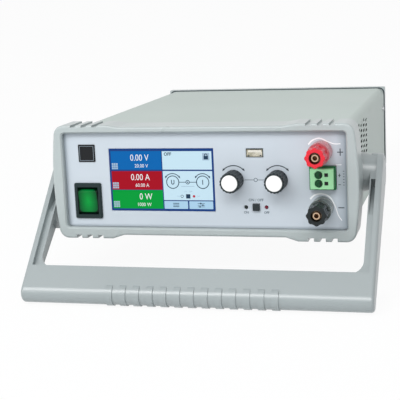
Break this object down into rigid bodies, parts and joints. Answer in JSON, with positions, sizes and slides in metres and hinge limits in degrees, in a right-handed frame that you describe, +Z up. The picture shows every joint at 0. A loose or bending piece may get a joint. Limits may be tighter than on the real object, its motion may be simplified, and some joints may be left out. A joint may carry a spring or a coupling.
{
  "type": "bench power supply",
  "caption": "Desktop laboratory power supply in a flat metal case, standing on its swung-down handle, with a touch screen, rocker switch, knobs and binding posts on the front.",
  "frame": {"origin": "on the table under the middle of the bounding box, with the unit standing tipped back on its handle", "axes": "+X to the right seen from the front, +Y to the back, +Z up from the table"},
  "size_m": [0.3088, 0.4225, 0.1447],
  "materials": {
    "grey_moulding": "fine moulded grain",
    "cover_paint": "fine powder coat",
    "panel_film": "satin printed film",
    "screen_glass": "glossy touch screen",
    "dark_plastic": "satin",
    "green_lens": "translucent, lit from behind",
    "white_plastic": "smooth",
    "red_plastic": "translucent",
    "smoke_plastic": "translucent",
    "light_green_plastic": "smooth",
    "dark_green_plastic": "smooth",
    "nickel": "nickel plate",
    "steel": "zinc plate",
    "aluminium": "extruded",
    "board": "coated laminate",
    "ferrite": "sintered",
    "copper": "enamelled wire",
    "rubber": "moulded"
  },
  "bodies": {
    "unit": {"front_bezel": "grey_moulding", "front_panel": "panel_film", "badge_plate": "dark_plastic", "display_glass": "screen_glass", "display_module": "steel", "control_board": "board", "switch_frame": "dark_plastic", "voltage_encoder": "steel", "current_encoder": "steel", "usb_socket": "steel", "button_switch": "dark_plastic", "status_lamps": "red_plastic", "red_post_stud": "nickel", "red_post_collar": "red_plastic", "black_post_stud": "nickel", "black_post_collar": "smoke_plastic", "post_nuts": "nickel", "sense_header": "dark_green_plastic", "handle_axles": "steel", "handle_screws": "steel", "handle_brackets": "steel", "top_cover": "cover_paint", "chassis_tray": "steel", "rear_panel": "steel", "rear_frame": "grey_moulding", "rear_feet": "rubber", "fan_housing_left": "dark_plastic", "fan_housing_right": "dark_plastic", "fan_guards": "steel", "mains_inlet": "dark_plastic", "control_socket": "steel", "data_socket": "steel", "main_board": "board", "board_pillars": "steel", "heatsinks": "aluminium", "transformer_core": "ferrite", "transformer_winding": "copper", "mains_choke": "ferrite", "capacitors": "aluminium", "output_bars": "nickel", "case_screws": "steel"},
    "handle": {"handle": "grey_moulding", "hub_caps": "grey_moulding"},
    "rocker": {"power_rocker": "green_lens"},
    "output_key": {"output_button": "dark_plastic"},
    "sense_plug": {"sense_plug": "light_green_plastic"},
    "sense_release_upper": {"sense_release_upper": "dark_green_plastic"},
    "sense_release_lower": {"sense_release_lower": "dark_green_plastic"},
    "voltage_stem": {"voltage_shaft": "steel"},
    "voltage_dial": {"voltage_knob": "dark_plastic", "voltage_knob_cap": "white_plastic"},
    "current_stem": {"current_shaft": "steel"},
    "current_dial": {"current_knob": "dark_plastic", "current_knob_cap": "white_plastic"},
    "red_insert": {"red_post_insert": "nickel"},
    "red_clamp": {"red_post_clamp": "red_plastic"},
    "black_insert": {"black_post_insert": "nickel"},
    "black_clamp": {"black_post_clamp": "smoke_plastic"},
    "fan_rotor_left": {"fan_rotor_left": "dark_plastic"},
    "fan_rotor_right": {"fan_rotor_right": "dark_plastic"}
  },
  "joints": [
    {"name": "handle_swing", "type": "hinge", "parent": "unit", "child": "handle", "pos_m": [0, -0.0918, 0.08677], "axis": [-1, 0, 0], "range_deg": [0, 187]},
    {"name": "rocker_tilt", "type": "hinge", "parent": "unit", "child": "rocker", "pos_m": [-0.1072, -0.13866, 0.07496], "axis": [-1, 0, 0], "range_deg": [0, 14]},
    {"name": "output_press", "type": "slide", "parent": "unit", "child": "output_key", "axis": [0, 0.9921, -0.1256], "range_m": [0, 0.001], "stiffness_N_per_m": 1500, "springref_m": -0.0004},
    {"name": "sense_unplug", "type": "slide", "parent": "unit", "child": "sense_plug", "axis": [0, -0.9921, 0.1256], "range_m": [0, 0.012]},
    {"name": "voltage_press", "type": "slide", "parent": "unit", "child": "voltage_stem", "axis": [0, 0.9921, -0.1256], "range_m": [0, 0.0005], "stiffness_N_per_m": 6000, "springref_m": -0.0003},
    {"name": "voltage_turn", "type": "hinge", "parent": "voltage_stem", "child": "voltage_dial", "pos_m": [0.0283, -0.14118, 0.09483], "axis": [0, -0.9921, 0.1256], "continuous": true},
    {"name": "current_press", "type": "slide", "parent": "unit", "child": "current_stem", "axis": [0, 0.9921, -0.1256], "range_m": [0, 0.0005], "stiffness_N_per_m": 6000, "springref_m": -0.0003},
    {"name": "current_turn", "type": "hinge", "parent": "current_stem", "child": "current_dial", "pos_m": [0.0673, -0.14118, 0.09483], "axis": [0, -0.9921, 0.1256], "continuous": true},
    {"name": "red_clamp_travel", "type": "slide", "parent": "unit", "child": "red_insert", "axis": [0, -0.9921, 0.1256], "range_m": [0, 0.004]},
    {"name": "red_clamp_turn", "type": "hinge", "parent": "red_insert", "child": "red_clamp", "pos_m": [0.1058, -0.15642, 0.12176], "axis": [0, -0.9921, 0.1256], "range_deg": [0, 1440]},
    {"name": "black_clamp_travel", "type": "slide", "parent": "unit", "child": "black_insert", "axis": [0, -0.9921, 0.1256], "range_m": [0, 0.004]},
    {"name": "black_clamp_turn", "type": "hinge", "parent": "black_insert", "child": "black_clamp", "pos_m": [0.1058, -0.1625, 0.07374], "axis": [0, -0.9921, 0.1256], "range_deg": [0, 1440]},
    {"name": "release_upper_press", "type": "slide", "parent": "sense_plug", "child": "sense_release_upper", "axis": [0, 0.9921, -0.1256], "range_m": [0, 0.0015], "stiffness_N_per_m": 1500, "springref_m": -0.0004},
    {"name": "release_lower_press", "type": "slide", "parent": "sense_plug", "child": "sense_release_lower", "axis": [0, 0.9921, -0.1256], "range_m": [0, 0.0015], "stiffness_N_per_m": 1500, "springref_m": -0.0004},
    {"name": "fan_left_spin", "type": "hinge", "parent": "unit", "child": "fan_rotor_left", "pos_m": [-0.086, 0.18086, 0.05174], "axis": [0, 0.9921, -0.1256], "continuous": true},
    {"name": "fan_right_spin", "type": "hinge", "parent": "unit", "child": "fan_rotor_right", "pos_m": [-0.022, 0.18086, 0.05174], "axis": [0, 0.9921, -0.1256], "continuous": true}
  ],
  "couplings": [
    {"joint": "red_clamp_travel", "follows": "red_clamp_turn", "m_per_rad": 0.00015915},
    {"joint": "black_clamp_travel", "follows": "black_clamp_turn", "m_per_rad": 0.00015915}
  ]
}
